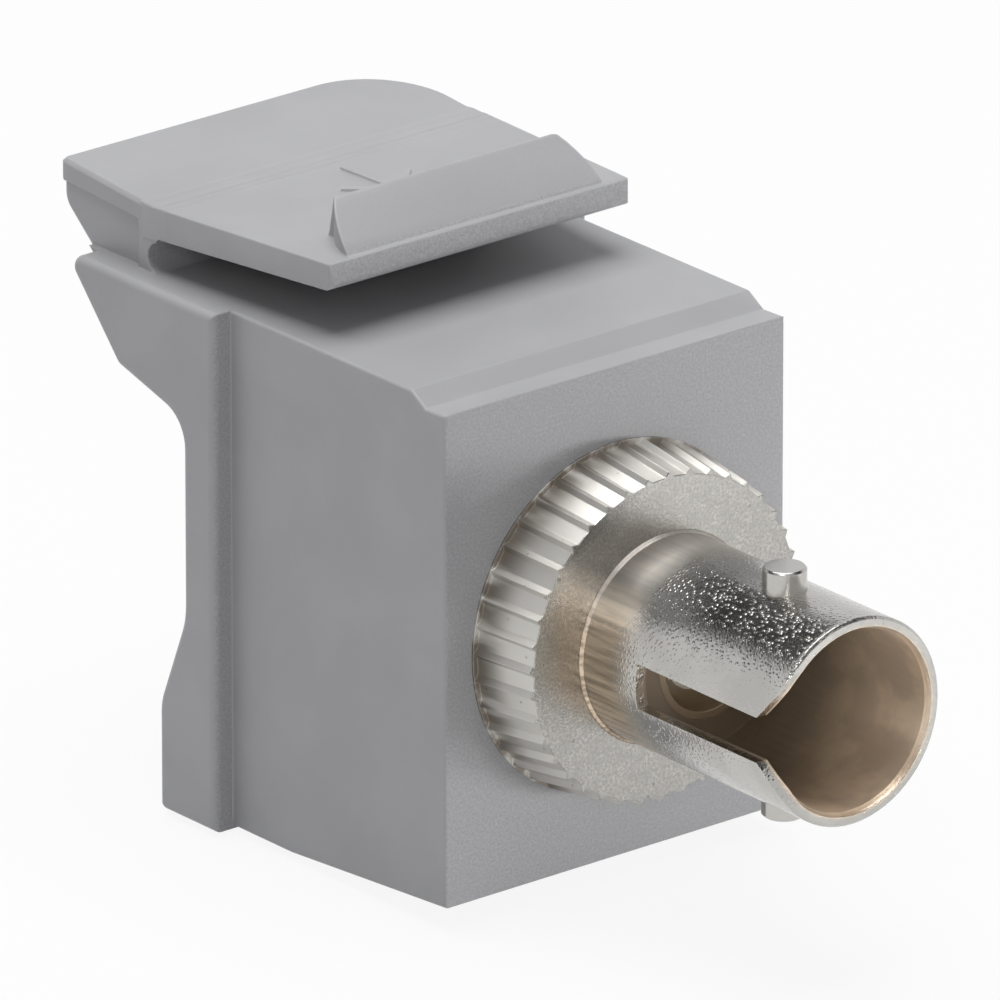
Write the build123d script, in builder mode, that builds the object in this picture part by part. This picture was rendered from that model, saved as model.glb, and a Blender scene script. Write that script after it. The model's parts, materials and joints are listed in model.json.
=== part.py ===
"""Snap-in panel module with an ST (bayonet, 2.5 mm ferrule) fibre adapter.

Frame: X is the width, Z is up, and the port faces -Y. The origin is the point
where the port axis crosses the front face of the housing. Millimetres.
"""
import os
from math import cos, radians, sin

from build123d import *

# Housing, outside
face_width = 16.1
face_top = 9.75
face_bottom = -9.56
body_top = 10.2
body_bottom = -10.2
lip_depth = 1.15
lip_ramp_end = 2.0
flare_end = 9.0
shoulder_y = 12.4
shoulder_step = 0.88
upper_tail = 20.6
lower_tail = 15.7
finger_cut = 14.22
tail_slant = 1.13
brow_top = 6.6
brow_end = 5.52
heel_top = -2.3
heel_end = -6.0
wide_edge = 0.3
long_edge = 0.12
wide_bottom = -10.3

# Housing, inside
side_wall = 1.2
top_wall = 1.35
floor_wall = 1.25
front_wall = 3.2

# Fixed catch under the floor
catch_width = 12.0
catch_drop = 0.3
catch_back = 8.1
catch_ramp = 3.0

# Latch lever and the root that carries it; a rise is a height above the housing's top
root_step = 0.19
lever_narrowing = 0.78
lever_tip = 7.72
lever_tip_rise = 2.9
lever_under_rise = 1.85
lever_corner = 0.25
chin = 0.35
hinge_y = 17.1
hinge_rise = 2.0
knuckle_r = 0.62
knuckle_gap = 0.05
slot_depth = 0.42
root_inset = 0.16
root_side_start = 18.06
root_back = 22.69
root_rise = 3.02
rim_thickness = 0.8
rim_slope = 0.3
root_knee_rise = 1.33
root_slant = 0.865
root_left_corner = 0.25
root_right_corner = 3.6
crown_edge = 0.15
ridge_y = 9.88
ridge_rise = 4.5
ridge_foot = 10.48
ramp_foot = 8.15
ramp_foot_rise = 3.05
crest_half = 5.1
ridge_foot_half = 6.06
arrow_y = 14.1
arrow_stroke = 0.28
arrow_relief = 0.1

# Port, metal parts
barrel_r = 4.0
barrel_wall = 0.5
mouth_y = -13.6
port_floor = -5.4
port_centre = 0.4
neck_step = 0.1
spigot_wall = 0.9
spigot_length = 2.6
flange_rim = 2.0
flange_length = 1.8
keyway_width = 1.75
keyway_floor = -5.95
keyway_flare = 1.7

# Knurled ring
teeth = 40
ring_face = -2.88
ring_base_r = 6.8
ring_taper = 0.38
tooth_depth = 0.2
ring_seat_step = 0.55
ring_seat_depth = 1.2
ring_lip = 0.08

# Bayonet pins
pin_r = 0.82
pin_stand = 0.86
pin_inset = 0.12
pin_y = -9.6

# Alignment sleeve and its holders
ferrule_r = 1.25
sleeve_wall = 0.35
sleeve_length = 10.1
sleeve_slit = 0.3
sleeve_play = 0.03
holder_wall = 0.77
holder_lip_catch = 0.15
holder_funnel_rim = 0.3
press_gap = 0.02

half_width = face_width / 2
wide_half = half_width + shoulder_step
mirror_y = 2 * port_centre
bore_r = barrel_r - barrel_wall
neck_r = barrel_r + neck_step
flange_r = barrel_r + flange_rim
ring_face_r = ring_base_r - ring_taper
ring_seat_r = ring_base_r - ring_seat_step
sleeve_r = ferrule_r + sleeve_wall
holder_bore_r = sleeve_r + sleeve_play
holder_r = holder_bore_r + holder_wall
spigot_r = holder_r + spigot_wall
hinge_z = body_top + hinge_rise
lever_back_top = hinge_z + knuckle_r
lever_tip_top = body_top + lever_tip_rise
lever_tip_under = body_top + lever_under_rise
lever_length = hinge_y - lever_tip
lever_half_back = half_width - root_step
lever_half_front = lever_half_back - lever_narrowing
os.makedirs("parts", exist_ok=True)


def lever_top_at(y):
    """Height of the lever's top face at a distance y from the front face."""
    share = (hinge_y - y) / lever_length
    return lever_back_top + share * (lever_tip_top - lever_back_top)


# Housing: one moulding with the latch root on top and an open back
with BuildPart() as housing:
    with BuildSketch(Plane.YZ):
        with BuildLine():
            Polyline(
                (0, face_bottom),
                (0, face_top),
                (lip_depth, face_top - 0.05),
                (lip_ramp_end, body_top),
                (shoulder_y + 1, body_top),
                (shoulder_y + 1, body_bottom),
                (flare_end, body_bottom),
                close=True,
            )
        make_face()
    extrude(amount=half_width, both=True)
    fillet(housing.faces().filter_by(Axis.X).edges(), radius=long_edge)
    # side walls behind the shoulder, cut back for the fingers
    slant_top = upper_tail + 0.65
    slant_foot = slant_top - (body_top - brow_top) / tail_slant
    corner_rounds = (
        ((slant_top, body_top), 0.45),
        ((slant_foot, brow_top), 0.6),
        ((finger_cut, brow_end), 1.45),
        ((finger_cut, heel_top), 3.0),
        ((lower_tail, heel_end), 2.0),
        ((lower_tail, wide_bottom), 0.3),
    )
    with BuildSketch(Plane.YZ) as side_wall_shape:
        with BuildLine():
            Polyline(
                (shoulder_y, body_top),
                *[corner for corner, radius in corner_rounds],
                (shoulder_y, wide_bottom),
                close=True,
            )
        make_face()
        for corner, radius in corner_rounds:
            fillet(side_wall_shape.vertices().sort_by_distance((*corner, 0))[0], radius=radius)
    extrude(amount=wide_half, both=True)
    wide_sides = housing.faces().filter_by(Axis.X).sort_by(Axis.X)
    fillet(wide_sides[-1].edges() + wide_sides[0].edges(), radius=wide_edge)
    # hollow: narrow behind the front wall, wider behind the shoulder
    cavity_top = body_top - top_wall
    cavity_floor = body_bottom + floor_wall
    cavity_height = cavity_top - cavity_floor
    with BuildSketch(Plane.XZ.offset(-front_wall)):
        with Locations((0, (cavity_top + cavity_floor) / 2)):
            RectangleRounded(2 * (half_width - side_wall), cavity_height, 0.6)
    extrude(amount=-30, mode=Mode.SUBTRACT)
    with BuildSketch(Plane.XZ.offset(-shoulder_y - 1.2)):
        with Locations((0, (cavity_top + cavity_floor) / 2)):
            RectangleRounded(2 * (wide_half - side_wall), cavity_height, 0.6)
    extrude(amount=-30, mode=Mode.SUBTRACT)
    # latch root: rises from the top wall behind the slot and leans over the back
    slot_low = (hinge_y - 0.16, body_top - 0.02)
    slot_deep = (hinge_y + slot_depth, (body_top + hinge_z - knuckle_r) / 2)
    slot_high = (hinge_y - 0.1, hinge_z - knuckle_r - 0.14)
    groove_r = knuckle_r + knuckle_gap
    groove_low = (hinge_y, hinge_z - groove_r)
    groove_end = (hinge_y + groove_r, hinge_z)
    groove_high = (hinge_y + groove_r * sin(radians(25)), hinge_z + groove_r * cos(radians(25)))
    root_top = body_top + root_rise
    rim_under = root_top - rim_thickness
    root_knee = body_top + root_knee_rise
    root_wall = root_back - root_inset
    root_heel = root_wall - (root_knee - cavity_top) / root_slant
    with BuildPart(mode=Mode.PRIVATE) as latch_root:
        with BuildSketch(Plane.YZ) as root_shape:
            with BuildLine():
                slot_end = ThreePointArc(slot_low, slot_deep, slot_high)
                to_groove = Line(slot_end @ 1, groove_low)
                groove = ThreePointArc(to_groove @ 1, groove_end, groove_high)
                Polyline(
                    groove @ 1,
                    (root_back, root_top),
                    (root_back, rim_under),
                    (root_wall, rim_under),
                    (root_wall, root_knee),
                    (root_heel, cavity_top),
                    (slot_low[0] - 0.4, cavity_top),
                    (slot_low[0] - 0.4, slot_low[1]),
                    slot_end @ 0,
                )
            make_face()
            fillet(root_shape.vertices().sort_by_distance((root_wall, root_knee, 0))[0], radius=0.8)
        extrude(amount=lever_half_back, both=True)
        with BuildSketch(Plane.XY.offset(cavity_top)) as root_plan:
            with Locations((0, root_back)):
                Rectangle(2 * lever_half_back, 20, align=(Align.CENTER, Align.MAX))
            left_rear = (-lever_half_back, root_back, 0)
            right_rear = (lever_half_back, root_back, 0)
            fillet(root_plan.vertices().sort_by_distance(left_rear)[0], radius=root_left_corner)
            fillet(root_plan.vertices().sort_by_distance(right_rear)[0], radius=root_right_corner)
        extrude(amount=root_top, mode=Mode.INTERSECT)
        # shallow recess in each side, under the overhanging rim
        for side in (-1, 1):
            with BuildSketch(Plane.YZ.offset(side * (lever_half_back - root_inset))):
                with BuildLine():
                    Polyline(
                        (root_side_start, body_top),
                        (upper_tail + 0.5, body_top),
                        (upper_tail + 0.5, cavity_top - 1),
                        (root_back + 1, cavity_top - 1),
                        (root_back + 1, rim_under),
                        (root_side_start, rim_under - rim_slope),
                        close=True,
                    )
                make_face()
            extrude(amount=side, mode=Mode.SUBTRACT)
        crown = latch_root.faces().filter_by(GeomType.PLANE).sort_by(Axis.Z)[-1]
        chamfer(crown.edges().sort_by(Axis.Y)[1:], length=crown_edge)
    add(latch_root.part)
    # press seat for the knurled ring and passage for the port body
    with BuildSketch(Plane.XZ):
        Circle(ring_seat_r + press_gap)
    extrude(amount=-ring_seat_depth, mode=Mode.SUBTRACT)
    with BuildSketch(Plane.XZ):
        Circle(neck_r + press_gap)
    extrude(amount=-front_wall, mode=Mode.SUBTRACT)
    # fixed catch that hooks under the panel's lower edge
    with BuildSketch(Plane.YZ):
        Polygon(
            (catch_back - catch_ramp, body_bottom + 0.5),
            (catch_back - 0.4, body_bottom - catch_drop),
            (catch_back, body_bottom - catch_drop),
            (catch_back, body_bottom + 0.5),
            align=None,
        )
    extrude(amount=catch_width / 2, both=True)
housing.part.label = "housing"
export_step(housing.part, "parts/housing.step")


# Latch lever: a tapering plate with a wedge ridge, turning at its back end
with BuildPart() as latch_lever:
    with BuildSketch(Plane.YZ):
        with BuildLine():
            tip_low = (lever_tip + chin, lever_tip_under)
            knuckle_low = (hinge_y, hinge_z - knuckle_r)
            knuckle_back = (hinge_y + knuckle_r, hinge_z)
            knuckle_high = (hinge_y, hinge_z + knuckle_r)
            belly = Line(knuckle_low, tip_low)
            chin_arc = ThreePointArc(
                belly @ 1,
                (lever_tip + 0.08, lever_tip_under + 0.12),
                (lever_tip, lever_tip_under + chin),
            )
            brow_edge = Line(chin_arc @ 1, (lever_tip + 0.12, lever_top_at(lever_tip)))
            crown = Line(brow_edge @ 1, knuckle_high)
            ThreePointArc(crown @ 1, knuckle_back, belly @ 0)
        make_face()
    extrude(amount=lever_half_back, both=True)
    # plan taper from the root to the tip
    plan_back = hinge_y + 2 * knuckle_r
    with BuildSketch(Plane.XY.offset(body_top)):
        with BuildLine():
            Polyline(
                (-lever_half_back, plan_back),
                (-lever_half_back, hinge_y),
                (-lever_half_front, lever_tip),
                (lever_half_front, lever_tip),
                (lever_half_back, hinge_y),
                (lever_half_back, plan_back),
                close=True,
            )
        plan = make_face()
        fillet(plan.vertices().group_by(Axis.Y)[0], radius=lever_corner)
    extrude(amount=ridge_rise, mode=Mode.INTERSECT)
    # wedge ridge: gentle ramp to the front, steep catch face to the back
    ridge_top = body_top + ridge_rise
    with BuildPart(mode=Mode.PRIVATE) as ridge:
        with BuildSketch(Plane.YZ):
            with BuildLine():
                ramp = Line((ramp_foot, body_top + ramp_foot_rise), (ridge_y - 0.15, ridge_top - 0.05))
                crest = ThreePointArc(ramp @ 1, (ridge_y + 0.02, ridge_top), (ridge_y + 0.15, ridge_top - 0.08))
                catch = Line(crest @ 1, (ridge_foot - 0.2, lever_top_at(ridge_foot) + 0.25))
                toe_line = Line(catch @ 1, (ridge_foot, lever_top_at(ridge_foot) - 0.2))
                Polyline(toe_line @ 1, (lever_tip + 0.1, lever_tip_top - 0.4), ramp @ 0)
            make_face()
        extrude(amount=lever_half_back, both=True)
        with BuildSketch(Plane.XY.offset(body_top)):
            with BuildLine():
                left = ThreePointArc(
                    (-ridge_foot_half, lever_tip),
                    (-ridge_foot_half + 0.2, (lever_tip + ridge_y) / 2),
                    (-crest_half, ridge_y + 0.1),
                )
                back_left = Line(left @ 1, (-crest_half, ridge_foot + 1))
                back_mid = Line(back_left @ 1, (crest_half, ridge_foot + 1))
                back_right = Line(back_mid @ 1, (crest_half, ridge_y + 0.1))
                right = ThreePointArc(
                    back_right @ 1,
                    (ridge_foot_half - 0.2, (lever_tip + ridge_y) / 2),
                    (ridge_foot_half, lever_tip),
                )
                Line(right @ 1, left @ 0)
            make_face()
        extrude(amount=ridge_rise, mode=Mode.INTERSECT)
    add(ridge.part)
    # raised arrow that shows which way up the module goes
    slope = (lever_back_top - lever_tip_top) / lever_length
    top_plane = Plane(
        origin=(0, arrow_y, lever_top_at(arrow_y)),
        x_dir=(1, 0, 0),
        z_dir=(0, -slope, 1),
    )
    with BuildSketch(top_plane.offset(-0.1)):
        Rectangle(arrow_stroke, 3.4)
        with Locations(Location((-0.76, -0.96), 45), Location((0.76, -0.96), -45)):
            Rectangle(arrow_stroke, 2.3)
    extrude(amount=0.1 + arrow_relief)
latch_lever.part.label = "latch_lever"
export_step(latch_lever.part, "parts/latch_lever.step")


# Knurled ring pressed into the front wall
def toothed_outline(crest_r):
    """Straight knurl: a broad flute and one narrow crest to each tooth."""
    points = []
    root_r = crest_r - tooth_depth
    for i in range(teeth):
        for share, r in ((0.0, root_r), (0.62, root_r), (0.84, crest_r)):
            angle = radians((i + share) * 360 / teeth)
            points.append((r * cos(angle), r * sin(angle)))
    return points


with BuildPart() as knurled_ring:
    with BuildSketch(Plane.XZ):
        Polygon(*toothed_outline(ring_base_r), align=None)
    with BuildSketch(Plane.XZ.offset(-ring_face)):
        Polygon(*toothed_outline(ring_face_r), align=None)
    loft(ruled=True)
    with BuildSketch(Plane.XZ):
        Circle(ring_base_r)
    extrude(amount=ring_lip)
    with BuildSketch(Plane.XZ):
        Circle(ring_seat_r)
    extrude(amount=-ring_seat_depth)
    with BuildSketch(Plane.XZ.offset(-ring_face)):
        Circle(neck_r)
    extrude(amount=-10, mode=Mode.SUBTRACT)
knurled_ring.part.label = "knurled_ring"
export_step(knurled_ring.part, "parts/knurled_ring.step")


def keyway(mouth, inner_end):
    """Cutter for the key slot on the -X side, which opens out in rounds at the mouth."""
    inward = 1 if inner_end > mouth else -1
    half = keyway_width / 2
    flare = keyway_flare
    with BuildPart(mode=Mode.PRIVATE) as cutter:
        with BuildSketch(Plane.YZ):
            with BuildLine():
                slot = Polyline(
                    (mouth + inward * flare * 0.55, half),
                    (inner_end, half),
                    (inner_end, -half),
                    (mouth + inward * flare * 0.55, -half),
                )
                lower = ThreePointArc(
                    slot @ 1,
                    (mouth + inward * flare * 0.2, -half - flare * 0.5),
                    (mouth, -half - flare),
                )
                outside = Polyline(
                    lower @ 1,
                    (mouth - inward, -half - flare),
                    (mouth - inward, half + flare),
                    (mouth, half + flare),
                )
                ThreePointArc(
                    outside @ 1,
                    (mouth + inward * flare * 0.2, half + flare * 0.5),
                    slot @ 0,
                )
            make_face()
        extrude(amount=-barrel_r - 1)
    return cutter.part


def pin_holes(y):
    """Cutter for the two blind holes that the bayonet pins are pressed into."""
    with BuildPart(mode=Mode.PRIVATE) as cutter:
        for side in (-1, 1):
            with BuildSketch(Plane.XY.offset(side * (bore_r + pin_inset))):
                with Locations((0, y)):
                    Circle(pin_r)
            extrude(amount=side * barrel_r)
    return cutter.part


# Front receptacle: barrel, neck through the wall, and spigot for the rear half
with BuildPart() as front_receptacle:
    with BuildSketch():
        with BuildLine():
            Polyline(
                (bore_r, port_floor),
                (bore_r, mouth_y + 0.25),
                (bore_r + 0.12, mouth_y),
                (barrel_r - 0.1, mouth_y),
                (barrel_r, mouth_y + 0.1),
                (barrel_r, ring_face - 0.12),
                (neck_r, ring_face),
                (neck_r, front_wall),
                (spigot_r, front_wall),
                (spigot_r, front_wall + spigot_length),
                (holder_r, front_wall + spigot_length),
                (holder_r, port_floor),
                close=True,
            )
        make_face()
    revolve(axis=Axis.Y)
    add(keyway(mouth_y, keyway_floor), mode=Mode.SUBTRACT)
    add(pin_holes(pin_y), mode=Mode.SUBTRACT)
front_receptacle.part.label = "front_receptacle"
export_step(front_receptacle.part, "parts/front_receptacle.step")


# Rear receptacle: flange against the inside of the wall, and a like barrel
rear_mouth = mirror_y - mouth_y
rear_floor = mirror_y - port_floor
flange_back = front_wall + flange_length
with BuildPart() as rear_receptacle:
    with BuildSketch():
        with BuildLine():
            Polyline(
                (spigot_r, front_wall),
                (flange_r, front_wall),
                (flange_r, flange_back),
                (barrel_r, flange_back),
                (barrel_r, rear_mouth - 0.1),
                (barrel_r - 0.1, rear_mouth),
                (bore_r + 0.12, rear_mouth),
                (bore_r, rear_mouth - 0.25),
                (bore_r, rear_floor),
                (holder_r, rear_floor),
                (holder_r, front_wall + spigot_length),
                (spigot_r, front_wall + spigot_length),
                close=True,
            )
        make_face()
    revolve(axis=Axis.Y)
    add(keyway(rear_mouth, mirror_y - keyway_floor), mode=Mode.SUBTRACT)
    add(pin_holes(mirror_y - pin_y), mode=Mode.SUBTRACT)
rear_receptacle.part.label = "rear_receptacle"
export_step(rear_receptacle.part, "parts/rear_receptacle.step")


def bayonet_pin(y, side):
    """Short turned pin with a broken outer edge, standing out of the barrel."""
    with BuildPart() as pin:
        with BuildSketch(Plane.XY.offset(side * (bore_r + pin_inset))):
            with Locations((0, y)):
                Circle(pin_r)
        extrude(amount=side * (barrel_r + pin_stand - bore_r - pin_inset))
        outer = pin.faces().sort_by(Axis.Z)[-1 if side > 0 else 0]
        chamfer(outer.edges(), length=0.08)
    return pin.part


pins = {
    "front_upper_pin": (pin_y, 1),
    "front_lower_pin": (pin_y, -1),
    "rear_upper_pin": (mirror_y - pin_y, 1),
    "rear_lower_pin": (mirror_y - pin_y, -1),
}
for name, (y, side) in pins.items():
    pin = bayonet_pin(y, side)
    pin.label = name
    export_step(pin, f"parts/{name}.step")


def sleeve_holder(direction):
    """Half of the tube that keeps the alignment sleeve, with a lead-in funnel."""
    seat_end = port_centre + direction * sleeve_length / 2
    mouth = port_centre + direction * (port_centre - port_floor)
    with BuildPart() as holder:
        with BuildSketch():
            with BuildLine():
                Polyline(
                    (holder_bore_r, port_centre),
                    (holder_r, port_centre),
                    (holder_r, mouth),
                    (holder_r - holder_funnel_rim, mouth),
                    (sleeve_r - holder_lip_catch, seat_end),
                    (holder_bore_r, seat_end),
                    close=True,
                )
            make_face()
        revolve(axis=Axis.Y)
    return holder.part


front_sleeve_holder = sleeve_holder(-1)
front_sleeve_holder.label = "front_sleeve_holder"
export_step(front_sleeve_holder, "parts/front_sleeve_holder.step")
rear_sleeve_holder = sleeve_holder(1)
rear_sleeve_holder.label = "rear_sleeve_holder"
export_step(rear_sleeve_holder, "parts/rear_sleeve_holder.step")


# Split ceramic sleeve that lines up the two ferrules
with BuildPart() as alignment_sleeve:
    with BuildSketch(Plane.XZ.offset(-port_centre)):
        Circle(sleeve_r)
        Circle(ferrule_r, mode=Mode.SUBTRACT)
        with Locations((0, -sleeve_r)):
            Rectangle(sleeve_slit, 2 * sleeve_wall + 0.6, mode=Mode.SUBTRACT)
    extrude(amount=sleeve_length / 2, both=True)
alignment_sleeve.part.label = "alignment_sleeve"
export_step(alignment_sleeve.part, "parts/alignment_sleeve.step")
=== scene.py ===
"""Snap-in panel module with a bayonet fibre port: its finishes, softened pieces and studio.

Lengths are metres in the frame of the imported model: X is the width, Z is up, the port
faces -Y, and the origin is where the port's axis crosses the housing's front face.
"""

import json
from math import cos, radians, sin

import bpy
from mathutils import Matrix, Vector

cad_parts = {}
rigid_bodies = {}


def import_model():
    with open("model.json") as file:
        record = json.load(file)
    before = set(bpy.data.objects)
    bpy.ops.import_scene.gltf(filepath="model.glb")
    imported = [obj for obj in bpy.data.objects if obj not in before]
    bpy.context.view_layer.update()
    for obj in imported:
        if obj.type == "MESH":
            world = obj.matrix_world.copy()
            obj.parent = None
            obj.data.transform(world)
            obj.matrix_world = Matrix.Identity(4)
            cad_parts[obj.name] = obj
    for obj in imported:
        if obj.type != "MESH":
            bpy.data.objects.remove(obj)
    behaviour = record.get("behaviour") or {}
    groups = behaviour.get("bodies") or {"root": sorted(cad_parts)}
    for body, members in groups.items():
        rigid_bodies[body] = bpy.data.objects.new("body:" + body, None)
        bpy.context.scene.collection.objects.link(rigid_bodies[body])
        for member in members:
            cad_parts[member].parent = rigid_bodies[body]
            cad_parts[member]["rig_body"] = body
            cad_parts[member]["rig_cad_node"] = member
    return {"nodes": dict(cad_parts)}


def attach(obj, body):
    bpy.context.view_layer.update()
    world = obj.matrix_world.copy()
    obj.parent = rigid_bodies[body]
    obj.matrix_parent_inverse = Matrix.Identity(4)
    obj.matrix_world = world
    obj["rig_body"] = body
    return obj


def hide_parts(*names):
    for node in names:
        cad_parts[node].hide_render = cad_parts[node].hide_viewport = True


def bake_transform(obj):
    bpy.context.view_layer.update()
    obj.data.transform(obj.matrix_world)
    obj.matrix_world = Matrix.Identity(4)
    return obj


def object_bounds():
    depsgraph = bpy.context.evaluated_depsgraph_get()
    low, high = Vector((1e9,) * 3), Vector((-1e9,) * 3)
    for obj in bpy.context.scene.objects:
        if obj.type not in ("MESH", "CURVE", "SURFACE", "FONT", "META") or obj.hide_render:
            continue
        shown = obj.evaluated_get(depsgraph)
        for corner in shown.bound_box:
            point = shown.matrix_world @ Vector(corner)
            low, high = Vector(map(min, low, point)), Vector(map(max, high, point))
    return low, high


bl_info = {
    "name": "Panel module with bayonet port",
    "version": (1, 0, 0),
    "blender": (4, 5, 0),
    "location": "3D View > Sidebar > Module",
    "description": "Dresses the panel module in its plastic and nickel and sets its studio",
    "category": "Object",
}

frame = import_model()
cad_low, cad_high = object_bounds()
mm = 0.001


def srgb(red, green, blue):
    """A colour read off a screen, 0 to 255, as the linear values that a shader takes."""
    return tuple(
        c / 12.92 if c <= 0.04045 else ((c + 0.055) / 1.055) ** 2.4
        for c in (red / 255, green / 255, blue / 255)
    )


# Sizes and colours a user would change


class ModuleSizes(bpy.types.PropertyGroup):
    """Small sizes of the softened pieces and of the surface grain."""

    lever_edge: bpy.props.FloatProperty(
        name="Lever edge",
        description="Radius of the rounded edges of the latch lever",
        default=0.1 * mm,
        subtype="DISTANCE",
        unit="LENGTH",
    )
    metal_edge: bpy.props.FloatProperty(
        name="Metal edge",
        description="Radius of the broken edges on the turned metal parts",
        default=0.05 * mm,
        subtype="DISTANCE",
        unit="LENGTH",
    )
    plastic_edge: bpy.props.FloatProperty(
        name="Plastic edge",
        description="Radius that the moulded edges seem to have in the light",
        default=0.12 * mm,
        subtype="DISTANCE",
        unit="LENGTH",
    )
    hinge_skin: bpy.props.FloatProperty(
        name="Hinge skin",
        description="How far the bending skin stands over the lever's back end and its root",
        default=0.014 * mm,
        subtype="DISTANCE",
        unit="LENGTH",
    )
    # this size also sets the painted glints on the front face
    face_grain: bpy.props.FloatProperty(
        name="Face grain",
        description="Width of one fleck in the sparkling texture of the front face",
        default=0.1 * mm,
        subtype="DISTANCE",
        unit="LENGTH",
    )
    cast_grain: bpy.props.FloatProperty(
        name="Cast grain",
        description="Width of one grain under the plating of the barrel",
        default=0.11 * mm,
        subtype="DISTANCE",
        unit="LENGTH",
    )


class ModuleColours(bpy.types.PropertyGroup):
    """Colours of the plastic and the metals."""

    plastic: bpy.props.FloatVectorProperty(
        name="Plastic",
        description="Grey of the moulded housing and lever",
        default=srgb(156, 156, 158),
        subtype="COLOR",
        min=0,
        max=1,
    )
    nickel: bpy.props.FloatVectorProperty(
        name="Nickel",
        description="Grey of the plated metal",
        default=srgb(190, 188, 183),
        subtype="COLOR",
        min=0,
        max=1,
    )
    # painted reflection: this brown stands in for the warm reflections by the ring and on the
    # knurl, and carries the painted light and shade in the bore
    painted_brown: bpy.props.FloatVectorProperty(
        name="Thin plating",
        description="Browner metal where the plating is thin, by the ring and in the bore",
        default=srgb(188, 171, 151),
        subtype="COLOR",
        min=0,
        max=1,
    )
    holder: bpy.props.FloatVectorProperty(
        name="Sleeve holder",
        description="Pale metal of the tube that keeps the sleeve",
        default=srgb(196, 186, 168),
        subtype="COLOR",
        min=0,
        max=1,
    )
    ceramic: bpy.props.FloatVectorProperty(
        name="Ceramic",
        description="White of the split sleeve",
        default=srgb(238, 236, 230),
        subtype="COLOR",
        min=0,
        max=1,
    )
    floor: bpy.props.FloatVectorProperty(
        name="Floor",
        description="Pale floor under the module",
        default=(0.68, 0.68, 0.68),
        subtype="COLOR",
        min=0,
        max=1,
    )
    # painted shade: this brown darkens the knurl by the wall, where shade falls, and also colours
    # the pits on the ring
    pit_and_shade_brown: bpy.props.FloatVectorProperty(
        name="Tarnish",
        description="Brown of the plating in the corners by the wall",
        default=srgb(98, 82, 64),
        subtype="COLOR",
        min=0,
        max=1,
    )


class ModuleCamera(bpy.types.PropertyGroup):
    """Where the photograph was taken from."""

    azimuth: bpy.props.FloatProperty(
        name="Azimuth",
        description="Turn of the view round the upright axis, from straight on at the port",
        default=radians(-39.377),
        subtype="ANGLE",
    )
    elevation: bpy.props.FloatProperty(
        name="Elevation",
        description="Height of the view above the horizon",
        default=radians(21.446),
        subtype="ANGLE",
    )
    distance: bpy.props.FloatProperty(
        name="Distance",
        description="From the origin's plane to the lens",
        default=800 * mm,
        unit="LENGTH",
    )
    aside: bpy.props.FloatProperty(
        name="Aside",
        description="How far right of the origin the lens points",
        default=-4.224 * mm,
        unit="LENGTH",
    )
    above: bpy.props.FloatProperty(
        name="Above",
        description="How far above the origin the lens points",
        default=4.194 * mm,
        unit="LENGTH",
    )
    lens: bpy.props.FloatProperty(
        name="Lens",
        description="Focal length in millimetres on a 36 mm sensor",
        default=786.5,
    )


# Shader maths written as expressions


class Wire:
    """A number on a wire of a node tree, with the usual signs of arithmetic."""

    def __init__(self, finish, socket):
        self.finish = finish
        self.socket = socket

    def maths(self, operation, *others):
        values = dict(enumerate([self, *others]))
        return self.finish.node("ShaderNodeMath", {"operation": operation}, values).wire(0)

    def __add__(self, other):
        return self.maths("ADD", other)

    __radd__ = __add__

    def __sub__(self, other):
        return self.maths("SUBTRACT", other)

    def __rsub__(self, other):
        return self.finish.number(other).maths("SUBTRACT", self)

    def __mul__(self, other):
        return self.maths("MULTIPLY", other)

    __rmul__ = __mul__

    def size(self):
        return self.maths("ABSOLUTE")

    def most(self, other):
        return self.maths("MAXIMUM", other)

    def root(self):
        return self.maths("SQRT")

    def between(self, start, end):
        """0 at start, 1 at end, and a smooth rise from one to the other."""
        settings = {"interpolation_type": "SMOOTHSTEP", "clamp": True}
        inputs = {"Value": self, "From Min": start, "From Max": end, "To Min": 0.0, "To Max": 1.0}
        return self.finish.node("ShaderNodeMapRange", settings, inputs).wire("Result")


class MadeNode:
    """A node that was just made, from which wires are drawn."""

    def __init__(self, finish, node):
        self.finish = finish
        self.node = node

    def wire(self, output):
        return Wire(self.finish, self.node.outputs[output])


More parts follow.
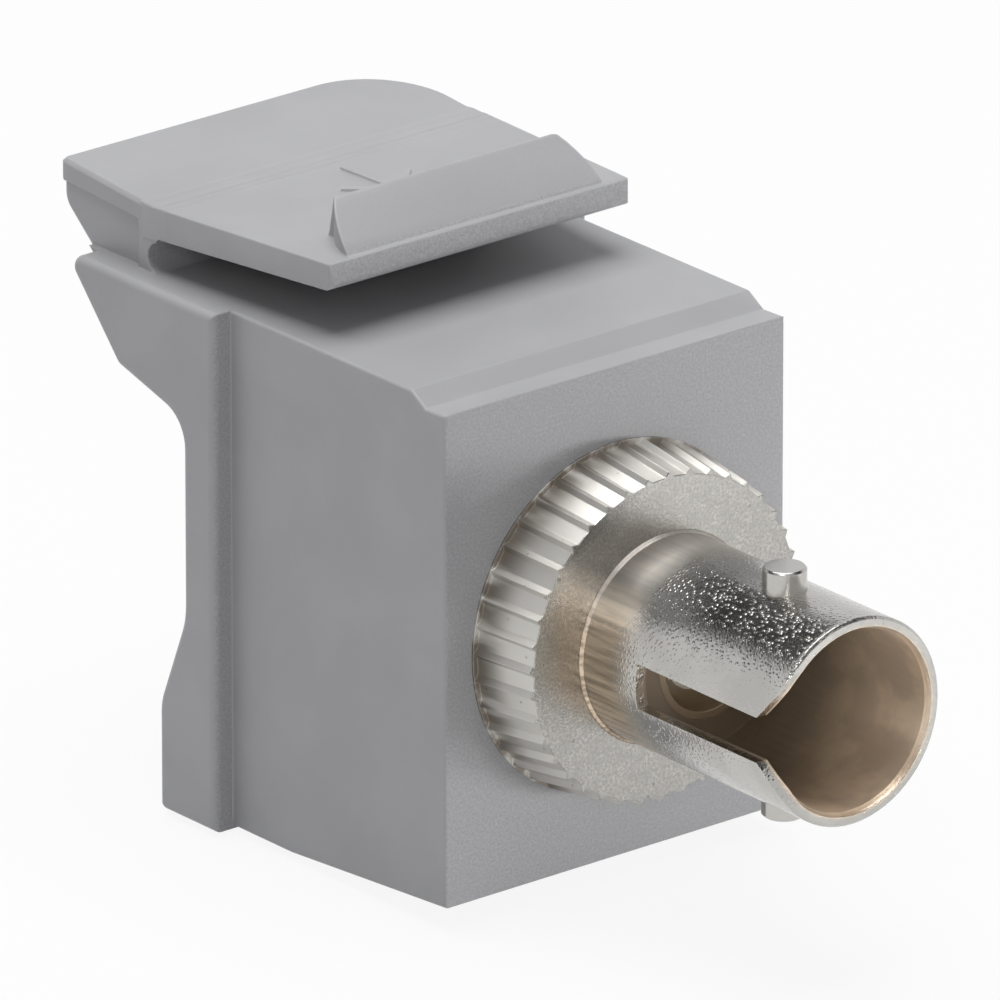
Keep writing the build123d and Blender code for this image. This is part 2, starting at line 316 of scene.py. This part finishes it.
class Finish:
    """One material or world, built node by node."""

    def __init__(self, name, world=False):
        self.material = (bpy.data.worlds if world else bpy.data.materials).new(name)
        self.material.use_nodes = True
        self.tree = self.material.node_tree
        self.tree.nodes.clear()

    def node(self, kind, settings=None, inputs=None):
        """Makes a node: its settings first, then a value or a wire for each socket."""
        made = self.tree.nodes.new(kind)
        for name, value in (settings or {}).items():
            setattr(made, name, value)
        for socket, value in (inputs or {}).items():
            if isinstance(value, Wire):
                self.tree.links.new(value.socket, made.inputs[socket])
            else:
                made.inputs[socket].default_value = value
        return MadeNode(self, made)

    def number(self, value):
        """A plain number as a wire."""
        return self.node("ShaderNodeMath", {"operation": "ADD"}, {0: float(value), 1: 0.0}).wire(0)

    def mix(self, share, first, second):
        """Colours mixed by a share; 0 gives the first."""
        settings = {"data_type": "RGBA", "blend_type": "MIX", "clamp_factor": True}
        return self.node("ShaderNodeMix", settings, {0: share, 6: first, 7: second}).wire(2)

    def place(self):
        """The three coordinates of the point on the object, in millimetres."""
        coords = self.node("ShaderNodeTexCoord").wire("Object")
        inputs = {0: coords, "Scale": 1 / mm}
        scaled = self.node("ShaderNodeVectorMath", {"operation": "SCALE"}, inputs)
        parts = self.node("ShaderNodeSeparateXYZ", None, {0: scaled.wire(0)})
        return scaled.wire(0), parts.wire(0), parts.wire(1), parts.wire(2)

    def flat_normal(self):
        """The face's own normal."""
        return self.node("ShaderNodeNewGeometry").wire("True Normal")

    def frontward(self):
        """How far the face looks towards the port's end, from -1 to 1."""
        turned = self.node(
            "ShaderNodeVectorTransform",
            {"vector_type": "NORMAL", "convert_from": "WORLD", "convert_to": "OBJECT"},
            {0: self.flat_normal()},
        )
        return 0.0 - self.node("ShaderNodeSeparateXYZ", None, {0: turned.wire(0)}).wire(1)

    def dot(self, first, second):
        """1 where two directions agree, and less where they part."""
        settings = {"operation": "DOT_PRODUCT"}
        return self.node("ShaderNodeVectorMath", settings, {0: first, 1: second}).wire("Value")

    def noise(self, where, size, detail=2.0, roughness=0.5, stretch=(1, 1, 1)):
        """Cloudy noise with spots of about the given size in millimetres, from 0 to 1."""
        mapped = self.node("ShaderNodeMapping", None, {"Vector": where, "Scale": stretch}).wire(0)
        inputs = {"Vector": mapped, "Scale": 1 / size, "Detail": detail, "Roughness": roughness}
        return self.node("ShaderNodeTexNoise", {"noise_dimensions": "3D"}, inputs).wire(0)

    def cells(self, where, size):
        """Cells of about the given size in millimetres: distance to the nearest centre."""
        inputs = {"Vector": where, "Scale": 1 / size}
        return self.node("ShaderNodeTexVoronoi", {"feature": "F1"}, inputs).wire("Distance")

    def rounded(self, radius):
        """The normal as if each edge had this radius, in metres."""
        return self.node("ShaderNodeBevel", {"samples": 6}, {"Radius": radius}).wire(0)

    def bump(self, height, depth, normal):
        """A height from 0 to 1 as relief of the given depth in metres, over a normal."""
        inputs = {"Height": height, "Distance": depth, "Strength": 1.0, "Normal": normal}
        return self.node("ShaderNodeBump", None, inputs).wire(0)

    def close(self, **inputs):
        """The surface shader and the output."""
        named = {name.replace("_", " "): value for name, value in inputs.items()}
        shader = self.node("ShaderNodeBsdfPrincipled", None, named)
        self.node("ShaderNodeOutputMaterial", None, {"Surface": shader.wire(0)})
        return self.material


def colour4(colour):
    """A colour for a colour socket."""
    return (*colour, 1.0)


def shade(colour, share):
    """The same colour, lighter or darker, for a colour socket."""
    return (*[min(1.0, c * share) for c in colour], 1.0)


def tones(colour, first, second):
    """Two shades of one colour, for the two sides of a mix."""
    return shade(colour, first), shade(colour, second)


# Finishes

# Places on the port, in millimetres. A pair gives where a change starts and where it ends.
PORT_MIDDLE = 0.4
PORT_MOUTH = 14.0
GRAIN_STARTS = (5.1, 7.0)
# where the painted highlight on the neck's top comes in
NECK_BRIGHTENS = (0.9, 3.3)
BORE_WALL = (3.75, 3.45)
# where the painted shade deep in the bore gives way to painted light at the mouth
BORE_PALES = (8.5, 13.5)
RING_FRONT = (-2.8, -2.87)
KNURL_FLUTE = (8.35, 8.2)
WALL_CORNER = (-1.7, -0.2)


def moulded_plastic(sizes, colours):
    """Grey moulding: faint flow marks, a speckled grain on the front with painted glints in it,
    and a painted highlight along the edges.
    """
    finish = Finish("moulded_plastic")
    where = finish.place()[0]
    front = finish.frontward().between(0.6, 0.9)
    flecks = finish.noise(where, sizes.face_grain / mm, detail=3.0, roughness=0.7)
    # painted glints: lighter spots in the front's colour stand in for its sparkle
    painted_glints = finish.cells(where, 2.2 * sizes.face_grain / mm).between(0.2, 0.06)
    clouds = finish.noise(where, 4.0, detail=3.0)
    haze = finish.noise(where, 0.6, detail=2.0)
    scratch = finish.noise(where, 0.05, detail=1.0, stretch=(1, 0.04, 1)).between(0.7, 0.78)
    even = finish.mix(clouds.between(0.35, 0.7), *tones(colours.plastic, 0.97, 1.03))
    speckled = finish.mix(flecks.between(0.34, 0.66), *tones(colours.plastic, 0.88, 1.1))
    grained = finish.mix(painted_glints * 0.4, speckled, shade(colours.plastic, 1.45))
    soft = finish.rounded(sizes.plastic_edge)
    # painted highlight: the colour turns paler along the edges, where the rounded normal parts
    # from the face's own
    edge = finish.dot(soft, finish.flat_normal()).between(0.99, 0.88)
    faces = finish.mix(front, even, grained)
    tint = finish.mix(edge * 0.8, faces, shade(colours.plastic, 1.4))
    height = front * flecks + (1.0 - front) * (haze * 0.1 + scratch * 0.12)
    relief = finish.bump(height, 0.012 * mm, soft)
    gloss = 0.4 + 0.06 * haze + front * 0.16
    return finish.close(Base_Color=tint, Roughness=gloss, Normal=relief, IOR=1.5)


def plated_nickel(sizes, colours):
    """Nickel plate over a casting, smooth by the ring and inside, elsewhere grainy, with brown
    painted reflections by the ring and in the bore, a painted highlight on the top of the neck,
    and painted shade deep in the bore.
    """
    finish = Finish("plated_nickel")
    where, x, y, z = finish.place()
    radius = (x * x + z * z).root()
    deep = radius.between(*BORE_WALL)
    middle = (y - PORT_MIDDLE).size()
    patches = finish.noise(where, 1.6, detail=3.0)
    rough = (middle + patches).between(*GRAIN_STARTS) * (1.0 - deep)
    smooth = 1.0 - rough
    lip = middle.between(PORT_MOUTH - 0.25, PORT_MOUTH - 0.1)
    grain = finish.noise(where, sizes.cast_grain / mm, detail=2.0, roughness=0.6)
    pits = finish.cells(where, 1.5 * sizes.cast_grain / mm).between(0.5, 0.1)
    drawn = finish.noise(where, 0.22, detail=3.0, stretch=(1, 0.06, 1))
    clean = finish.mix(patches.between(0.4, 0.65), *tones(colours.nickel, 0.95, 1.05))
    # painted reflection: brown by the ring, in lighter and darker streaks along the axis
    thin = finish.mix(drawn.between(0.35, 0.65), *tones(colours.painted_brown, 0.72, 1.4))
    # painted highlight: the top of the neck turns pale nickel; the same share also makes it less
    # glossy
    upper = z.between(*NECK_BRIGHTENS)
    neck = finish.mix(upper * 0.75, thin, shade(colours.nickel, 1.05))
    outside = finish.mix(rough, neck, clean)
    # painted shade and light: the bore is darker deep in and paler towards the mouth and its right
    # wall
    painted_bore_light = (middle + x * 0.5).between(*BORE_PALES)
    inside = finish.mix(painted_bore_light, *tones(colours.painted_brown, 0.5, 2.0))
    blotched = finish.mix(patches.between(0.62, 0.4) * 0.25, inside, shade(colours.painted_brown, 0.5))
    tint = finish.mix(deep, outside, blotched)
    bumps = (grain * 0.5 + pits * 0.5) * (0.1 + rough) + drawn * 0.12 * smooth + grain * lip
    relief = finish.bump(bumps, 0.015 * mm, finish.rounded(sizes.metal_edge))
    gloss = 0.12 + 0.08 * patches + deep * 0.2 + smooth * (1.0 - deep) * (0.06 + 0.2 * upper)
    return finish.close(Base_Color=tint, Metallic=1.0 - deep * 0.6, Roughness=gloss, Normal=relief)


def turned_nickel(sizes, colours):
    """Nickel on the knurled ring: a bright face with a fine grain, painted shade by the wall, and
    flutes painted lighter.
    """
    finish = Finish("turned_nickel")
    where, x, y, z = finish.place()
    face = y.between(*RING_FRONT)
    elsewhere = 1.0 - face
    grain = finish.noise(where, 0.09, detail=3.0, roughness=0.7)
    pits = finish.cells(where, 0.7).between(0.12, 0.05)
    frost = finish.noise(where, 1.3, detail=3.0, roughness=0.6).between(0.42, 0.62)
    smear = finish.noise(where, 0.45, detail=3.0, stretch=(1, 0.2, 1))
    streaks = finish.noise(where, 0.7, detail=2.0, stretch=(1, 0.15, 1)).between(0.34, 0.56)
    # painted shade: streaky brown on the knurl by the wall
    corner = y.between(*WALL_CORNER) * streaks
    flute = (x * x + z * z).root().between(*KNURL_FLUTE) * elsewhere
    # painted reflection: the knurl off its face takes the warm brown, its face the nickel
    dull = finish.mix(face, shade(colours.painted_brown, 0.95), shade(colours.nickel, 0.9))
    clean = finish.mix(smear.between(0.35, 0.7), dull, shade(colours.nickel, 1.05))
    # painted light: the flutes are lighter, lifting the shade in them
    body = finish.mix(flute, clean, shade(colours.nickel, 1.25))
    specks = finish.noise(where, 0.12, detail=3.0, roughness=0.7).between(0.36, 0.62)
    bright = finish.mix(face * specks, body, shade(colours.nickel, 0.72))
    corner_shaded = finish.mix(corner * elsewhere * 0.65, bright, colour4(colours.pit_and_shade_brown))
    tint = finish.mix(pits * 0.4, corner_shaded, colour4(colours.pit_and_shade_brown))
    bumps = face * (grain * 0.5 - pits * 0.3) + elsewhere * smear * 0.6
    relief = finish.bump(bumps, 0.022 * mm, finish.rounded(sizes.metal_edge))
    gloss = 0.14 + face * frost * 0.06 + elsewhere * (0.28 + 0.16 * smear)
    return finish.close(Base_Color=tint, Metallic=1.0, Roughness=gloss, Normal=relief)


def smooth_nickel(sizes, colours):
    """Nickel on the pressed-in pins: almost a mirror."""
    finish = Finish("smooth_nickel")
    where = finish.place()[0]
    wear = finish.noise(where, 0.3, detail=3.0)
    tint = finish.mix(wear, *tones(colours.nickel, 0.96, 1.06))
    relief = finish.bump(wear, 0.003 * mm, finish.rounded(sizes.metal_edge))
    return finish.close(Base_Color=tint, Metallic=1.0, Roughness=0.14 + wear * 0.08, Normal=relief)


def holder_metal(sizes, colours):
    """Turned tube of the sleeve holder."""
    finish = Finish("holder_metal")
    where, x, y, z = finish.place()
    radius = (x * x + z * z).root()
    outward = finish.node("ShaderNodeCombineXYZ", None, {0: radius}).wire(0)
    rings = finish.noise(outward, 0.08, detail=2.0)
    tint = finish.mix(rings, *tones(colours.holder, 0.85, 1.08))
    relief = finish.bump(rings, 0.006 * mm, finish.rounded(sizes.metal_edge))
    return finish.close(Base_Color=tint, Metallic=1.0, Roughness=0.3 + rings * 0.1, Normal=relief)


def fired_ceramic(sizes, colours):
    """Polished white ceramic."""
    finish = Finish("fired_ceramic")
    where = finish.place()[0]
    mottle = finish.noise(where, 0.8, detail=2.0)
    tint = finish.mix(mottle, *tones(colours.ceramic, 0.96, 1.0))
    relief = finish.bump(mottle, 0.002 * mm, finish.rounded(sizes.metal_edge))
    return finish.close(Base_Color=tint, Roughness=0.16 + mottle * 0.06, Normal=relief)


def give(obj, material):
    """The object's only material."""
    obj.data.materials.clear()
    obj.data.materials.append(material)


def softened(node, name, body, edge, material):
    """A merged copy of a CAD node with real rounds on its sharp edges, shown in its place."""
    bpy.ops.object.select_all(action="DESELECT")
    piece = frame["nodes"][node].copy()
    piece.data = piece.data.copy()
    piece.name = name
    piece.parent = None
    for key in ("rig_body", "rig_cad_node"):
        if key in piece:
            del piece[key]
    bpy.context.scene.collection.objects.link(piece)
    piece.select_set(True)
    bpy.context.view_layer.objects.active = piece
    bpy.ops.object.mode_set(mode="EDIT")
    bpy.ops.mesh.select_all(action="SELECT")
    bpy.ops.mesh.remove_doubles(threshold=0.002 * mm)
    bpy.ops.mesh.dissolve_limited(angle_limit=radians(0.5))
    bpy.ops.object.mode_set(mode="OBJECT")
    rounds = piece.modifiers.new("rounds", "BEVEL")
    rounds.width = edge
    rounds.segments = 3
    rounds.limit_method = "ANGLE"
    rounds.angle_limit = radians(28)
    rounds.harden_normals = False
    rounds.use_clamp_overlap = True
    bpy.ops.object.modifier_apply(modifier=rounds.name)
    bpy.ops.object.shade_smooth_by_angle(angle=radians(32))
    give(piece, material)
    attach(piece, body)
    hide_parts(node)
    return piece


def pull(piece, chosen, offset):
    """In edit mode, moves the corners that pass a test by an offset."""
    bpy.ops.object.mode_set(mode="OBJECT")
    for part in (piece.data.polygons, piece.data.edges):
        for each in part:
            each.select = False
    for corner in piece.data.vertices:
        corner.select = chosen(corner.co)
    bpy.ops.object.mode_set(mode="EDIT")
    bpy.ops.transform.translate(value=offset)


# The latch round its bend, in millimetres in the frame of the model
LEVER_END = 17.1
LATCH_HALF = 7.86
LATCH_TOP = 12.82
# how much the lever narrows, rises and thins towards its tip, for each millimetre
LEVER_NARROWS = 0.083
LEVER_RISES = 0.03
LEVER_THINS = 0.052
# where the root's top starts to rise, and how steeply
ROOT_RISE_START = 17.38
ROOT_RISES = 0.078
SKIN_STATIONS = (16.3, 16.6, 16.85, 17.02, 17.12, 17.4, 17.7, 17.98)
# the block that the skin is cut from
BLOCK_HALF = 8.0
BLOCK_LOW = 11.4
BLOCK_TOP = 12.8
SKIN_SINK = 0.02
SKIN_WALL = 0.05


def hinge_fit(y):
    """Half width, top and lower edge of the latch at a distance y behind the front face."""
    before = max(0.0, LEVER_END - y)
    half = LATCH_HALF - before * LEVER_NARROWS
    if y < LEVER_END:
        top = LATCH_TOP + before * LEVER_RISES
    else:
        top = LATCH_TOP - 0.005 + max(0.0, y - ROOT_RISE_START) * ROOT_RISES
    if y < LEVER_END - 0.15:
        low = 11.61 + before * LEVER_THINS
    else:
        low = 11.5 if y < LEVER_END else 11.44
    return half, top, low


def bent_skin(sizes, material):
    """The plastic that bends where the lever meets its root: a thin band over top and sides."""
    start = SKIN_STATIONS[0]
    end = SKIN_STATIONS[-1]
    block_middle = (BLOCK_LOW + BLOCK_TOP) / 2
    bpy.ops.object.select_all(action="DESELECT")
    centre = (0, (start + end) / 2 * mm, block_middle * mm)
    bpy.ops.mesh.primitive_cube_add(size=1, location=centre)
    piece = bpy.context.object
    piece.name = "latch_hinge_skin"
    piece.scale = (2 * BLOCK_HALF * mm, (end - start) * mm, (BLOCK_TOP - BLOCK_LOW) * mm)
    bpy.ops.object.transform_apply(location=True, rotation=False, scale=True)
    bpy.ops.object.mode_set(mode="EDIT")
    for y in SKIN_STATIONS[1:-1]:
        bpy.ops.mesh.select_all(action="SELECT")
        bpy.ops.mesh.bisect(plane_co=(0, y * mm, 0), plane_no=(0, 1, 0))
    # keep the top and the two sides
    bpy.ops.mesh.select_all(action="DESELECT")
    bpy.ops.object.mode_set(mode="OBJECT")
    for side in piece.data.polygons:
        side.select = side.normal.z < -0.5 or abs(side.normal.y) > 0.5
    bpy.ops.object.mode_set(mode="EDIT")
    bpy.ops.mesh.delete(type="FACE")
    # fit each station to the lever and the root, sunk at both ends
    for y in SKIN_STATIONS:
        half, top, low = hinge_fit(y)
        proud = -SKIN_SINK if y in (start, end) else sizes.hinge_skin / mm

        def here(place, y=y):
            return abs(place.y / mm - y) < 0.01

        def above(place):
            return here(place) and place.z / mm > block_middle

        def below(place):
            return here(place) and place.z / mm < block_middle

        for side in (-1, 1):
            move = (side * (half + proud - BLOCK_HALF) * mm, 0, 0)
            pull(piece, lambda place, side=side: here(place) and place.x * side > 0, move)
        pull(piece, above, (0, 0, (top + proud - BLOCK_TOP) * mm))
        pull(piece, below, (0, 0, (low - BLOCK_LOW) * mm))
    # soft corners between the top and the sides
    bpy.ops.object.mode_set(mode="OBJECT")
    corners = piece.data.vertices
    for edge in piece.data.edges:
        ends = [corners[k].co for k in edge.vertices]
        lengthwise = abs(ends[0].y - ends[1].y) > 0.05 * mm
        edge.select = lengthwise and all(end.z / mm > block_middle + 0.3 for end in ends)
    bpy.ops.object.mode_set(mode="EDIT")
    bpy.ops.mesh.select_mode(type="EDGE")
    bpy.ops.mesh.bevel(offset=sizes.lever_edge, segments=3)
    bpy.ops.mesh.select_mode(type="VERT")
    bpy.ops.mesh.select_all(action="SELECT")
    bpy.ops.mesh.normals_make_consistent(inside=False)
    bpy.ops.object.mode_set(mode="OBJECT")
    wall = piece.modifiers.new("wall", "SOLIDIFY")
    wall.thickness = SKIN_WALL * mm
    wall.offset = -1
    bpy.ops.object.modifier_apply(modifier=wall.name)
    bpy.ops.object.shade_smooth_by_angle(angle=radians(40))
    give(piece, material)
    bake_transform(piece)
    return piece


# Operators, one for each piece or group of like pieces


class MODULE_OT_housing(bpy.types.Operator):
    """Gives the moulded housing its plastic"""

    bl_idname = "module.housing"
    bl_label = "Housing"

    def execute(self, context):
        scene = context.scene
        plastic = moulded_plastic(scene.module_sizes, scene.module_colours)
        give(frame["nodes"]["housing"], plastic)
        return {"FINISHED"}


class MODULE_OT_lever(bpy.types.Operator):
    """Shows the latch lever with rounded edges, and the plastic that bends behind it"""

    bl_idname = "module.lever"
    bl_label = "Latch lever"

    def execute(self, context):
        sizes = context.scene.module_sizes
        plastic = frame["nodes"]["housing"].data.materials[0]
        piece = softened("latch_lever", "lever_rounded", "latch", sizes.lever_edge, plastic)
        bent_skin(sizes, plastic)
        return {"FINISHED"}


class MODULE_OT_receptacles(bpy.types.Operator):
    """Plates the two receptacles"""

    bl_idname = "module.receptacles"
    bl_label = "Receptacles"

    def execute(self, context):
        scene = context.scene
        nickel = plated_nickel(scene.module_sizes, scene.module_colours)
        for node in ("front_receptacle", "rear_receptacle"):
            give(frame["nodes"][node], nickel)
        return {"FINISHED"}


class MODULE_OT_ring(bpy.types.Operator):
    """Plates the knurled ring"""

    bl_idname = "module.ring"
    bl_label = "Knurled ring"

    def execute(self, context):
        scene = context.scene
        nickel = turned_nickel(scene.module_sizes, scene.module_colours)
        give(frame["nodes"]["knurled_ring"], nickel)
        return {"FINISHED"}


class MODULE_OT_pins(bpy.types.Operator):
    """Plates the four bayonet pins"""

    bl_idname = "module.pins"
    bl_label = "Bayonet pins"

    def execute(self, context):
        scene = context.scene
        nickel = smooth_nickel(scene.module_sizes, scene.module_colours)
        for end in ("front", "rear"):
            for side in ("upper", "lower"):
                give(frame["nodes"][f"{end}_{side}_pin"], nickel)
        return {"FINISHED"}


class MODULE_OT_sleeve(bpy.types.Operator):
    """Finishes the split sleeve and the two holders that keep it"""

    bl_idname = "module.sleeve"
    bl_label = "Sleeve and holders"

    def execute(self, context):
        scene = context.scene
        metal = holder_metal(scene.module_sizes, scene.module_colours)
        for end in ("front", "rear"):
            give(frame["nodes"][f"{end}_sleeve_holder"], metal)
        ceramic = fired_ceramic(scene.module_sizes, scene.module_colours)
        give(frame["nodes"]["alignment_sleeve"], ceramic)
        return {"FINISHED"}


def soft_box(name, place, aim, width, height, power):
    """A flat lamp at a place, turned to face a point."""
    lamp = bpy.data.lights.new(name, "AREA")
    lamp.shape = "RECTANGLE"
    lamp.size = width
    lamp.size_y = height
    lamp.energy = power
    holder = bpy.data.objects.new(name, lamp)
    holder.location = place
    holder.rotation_euler = (Vector(aim) - Vector(place)).to_track_quat("-Z", "Y").to_euler()
    bpy.context.scene.collection.objects.link(holder)
    return holder


# How much of a plain white the camera and the metal see in the floor, where 1 hides all shadow
FLOOR_WHITE_SEEN = 0.9
FLOOR_WHITE_MIRRORED = 0.8
# Levels of the light from in front, from behind and from overhead
FRONT_LEVEL = 0.33
BACK_LEVEL = 0.4
CEILING_LEVEL = 0.35
# Levels that metal mirrors: the sweep up to its edge, the dark room above it, and the ceiling
SWEEP_LEVEL = 0.85
ROOM_LEVEL = 0.03
MIRRORED_CEILING = 0.8
# How steep a direction is where the ceiling starts and the sweep ends, 1 being straight up
CEILING_EDGE = (0.76, 0.95)
SWEEP_EDGE = (0.64, 0.5)
PLAIN_WHITE = {"Color": (1, 1, 1, 1), "Strength": 1.0}


def studio_floor(colours):
    """A pale floor that the camera and the metal see as nearly white, with the shadow kept."""
    bpy.ops.object.select_all(action="DESELECT")
    bpy.ops.mesh.primitive_plane_add(size=4.0, location=(0, 0, cad_low.z - 0.01 * mm))
    floor = bpy.context.object
    floor.name = "floor"
    finish = Finish("floor_paper")
    rays = finish.node("ShaderNodeLightPath")
    mirrored = rays.wire("Is Glossy Ray").most(rays.wire("Is Transmission Ray"))
    seen = (rays.wire("Is Camera Ray") * FLOOR_WHITE_SEEN).most(mirrored * FLOOR_WHITE_MIRRORED)
    paper = finish.node("ShaderNodeBsdfDiffuse", None, {"Color": colour4(colours.floor)}).wire(0)
    glow = finish.node("ShaderNodeEmission", None, PLAIN_WHITE).wire(0)
    both = finish.node("ShaderNodeMixShader", None, {0: seen, 1: paper, 2: glow}).wire(0)
    finish.node("ShaderNodeOutputMaterial", None, {"Surface": both})
    give(floor, finish.material)


def studio_world():
    """Soft light from all round; the camera sees white, and metal a white sweep in a dark room."""
    finish = Finish("studio", world=True)
    heading = finish.node("ShaderNodeTexCoord").wire("Generated")
    parts = finish.node("ShaderNodeSeparateXYZ", None, {0: heading})
    back, up = parts.wire(1), parts.wire(2)
    ceiling = up.between(*CEILING_EDGE)
    backward = back.between(-0.5, 0.5)
    sides = FRONT_LEVEL + backward * (BACK_LEVEL - FRONT_LEVEL)
    soft = ceiling * CEILING_LEVEL + (1.0 - ceiling) * sides
    sweep = up.between(*SWEEP_EDGE) * SWEEP_LEVEL + ceiling * MIRRORED_CEILING + ROOM_LEVEL
    rays = finish.node("ShaderNodeLightPath")
    mirrored = rays.wire("Is Glossy Ray").most(rays.wire("Is Transmission Ray"))
    level = soft + mirrored * (sweep - soft)
    tint = finish.node("ShaderNodeCombineXYZ", None, {0: level, 1: level, 2: level * 1.02}).wire(0)
    light = finish.node("ShaderNodeBackground", None, {"Color": tint, "Strength": 1.0}).wire(0)
    white = finish.node("ShaderNodeBackground", None, PLAIN_WHITE).wire(0)
    shares = {0: rays.wire("Is Camera Ray"), 1: light, 2: white}
    both = finish.node("ShaderNodeMixShader", None, shares).wire(0)
    finish.node("ShaderNodeOutputWorld", None, {"Surface": both})
    bpy.context.scene.world = finish.material


def studio_camera(view):
    """The camera that matches the photograph."""
    back = Vector(
        (
            sin(view.azimuth) * cos(view.elevation),
            -cos(view.azimuth) * cos(view.elevation),
            sin(view.elevation),
        )
    )
    right = Vector((cos(view.azimuth), sin(view.azimuth), 0))
    up = back.cross(right)
    lens = bpy.data.cameras.new("camera")
    lens.lens = view.lens
    lens.sensor_width = 36
    lens.clip_start = 0.01
    lens.clip_end = 20
    camera = bpy.data.objects.new("camera", lens)
    turn = Matrix((right, up, back)).transposed().to_4x4()
    stand = right * view.aside + up * view.above + back * view.distance
    camera.matrix_world = Matrix.Translation(stand) @ turn
    bpy.context.scene.collection.objects.link(camera)
    bpy.context.scene.camera = camera


class MODULE_OT_stage(bpy.types.Operator):
    """Sets the floor, the soft lamps and the camera"""

    bl_idname = "module.stage"
    bl_label = "Stage"

    def execute(self, context):
        scene = context.scene
        studio_camera(scene.module_camera)
        studio_floor(scene.module_colours)
        studio_world()
        middle = (0, 0, 0)
        under = (0, 0, -0.05)
        by_front = (0.034, -0.056, -0.008)
        soft_box("top_lamp", (0, 0.05, 0.35), middle, width=0.3, height=0.3, power=1.36)
        low_lamp = soft_box("low_lamp", by_front, under, width=0.03, height=0.006, power=0.027)
        # its mirror image would show on the ring
        low_lamp.visible_glossy = False
        soft_box("near_lamp", (-0.55, -0.78, 0.4), middle, width=0.2, height=0.2, power=1.08)
        scene.view_settings.view_transform = "Standard"
        return {"FINISHED"}


class MODULE_PT_panel(bpy.types.Panel):
    """Lists the steps that dress the module"""

    bl_idname = "MODULE_PT_panel"
    bl_label = "Panel module"
    bl_space_type = "VIEW_3D"
    bl_region_type = "UI"
    bl_category = "Module"

    def draw(self, context):
        scene = context.scene
        for group in (scene.module_sizes, scene.module_colours, scene.module_camera):
            box = self.layout.box()
            for name in group.bl_rna.properties.keys():
                if name not in ("rna_type", "name"):
                    box.prop(group, name)
        for step in steps:
            self.layout.operator(step.bl_idname)


steps = (
    MODULE_OT_housing,
    MODULE_OT_lever,
    MODULE_OT_receptacles,
    MODULE_OT_ring,
    MODULE_OT_pins,
    MODULE_OT_sleeve,
    MODULE_OT_stage,
)
classes = (ModuleSizes, ModuleColours, ModuleCamera, *steps, MODULE_PT_panel)


def register():
    for c in classes:
        bpy.utils.register_class(c)
    bpy.types.Scene.module_sizes = bpy.props.PointerProperty(type=ModuleSizes)
    bpy.types.Scene.module_colours = bpy.props.PointerProperty(type=ModuleColours)
    bpy.types.Scene.module_camera = bpy.props.PointerProperty(type=ModuleCamera)


def unregister():
    del bpy.types.Scene.module_camera
    del bpy.types.Scene.module_colours
    del bpy.types.Scene.module_sizes
    for c in reversed(classes):
        bpy.utils.unregister_class(c)


def main():
    """Registers the parts of the add-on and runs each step."""
    register()
    bpy.ops.module.housing()
    bpy.ops.module.lever()
    bpy.ops.module.receptacles()
    bpy.ops.module.ring()
    bpy.ops.module.pins()
    bpy.ops.module.sleeve()
    bpy.ops.module.stage()


if __name__ == "__main__":
    main()
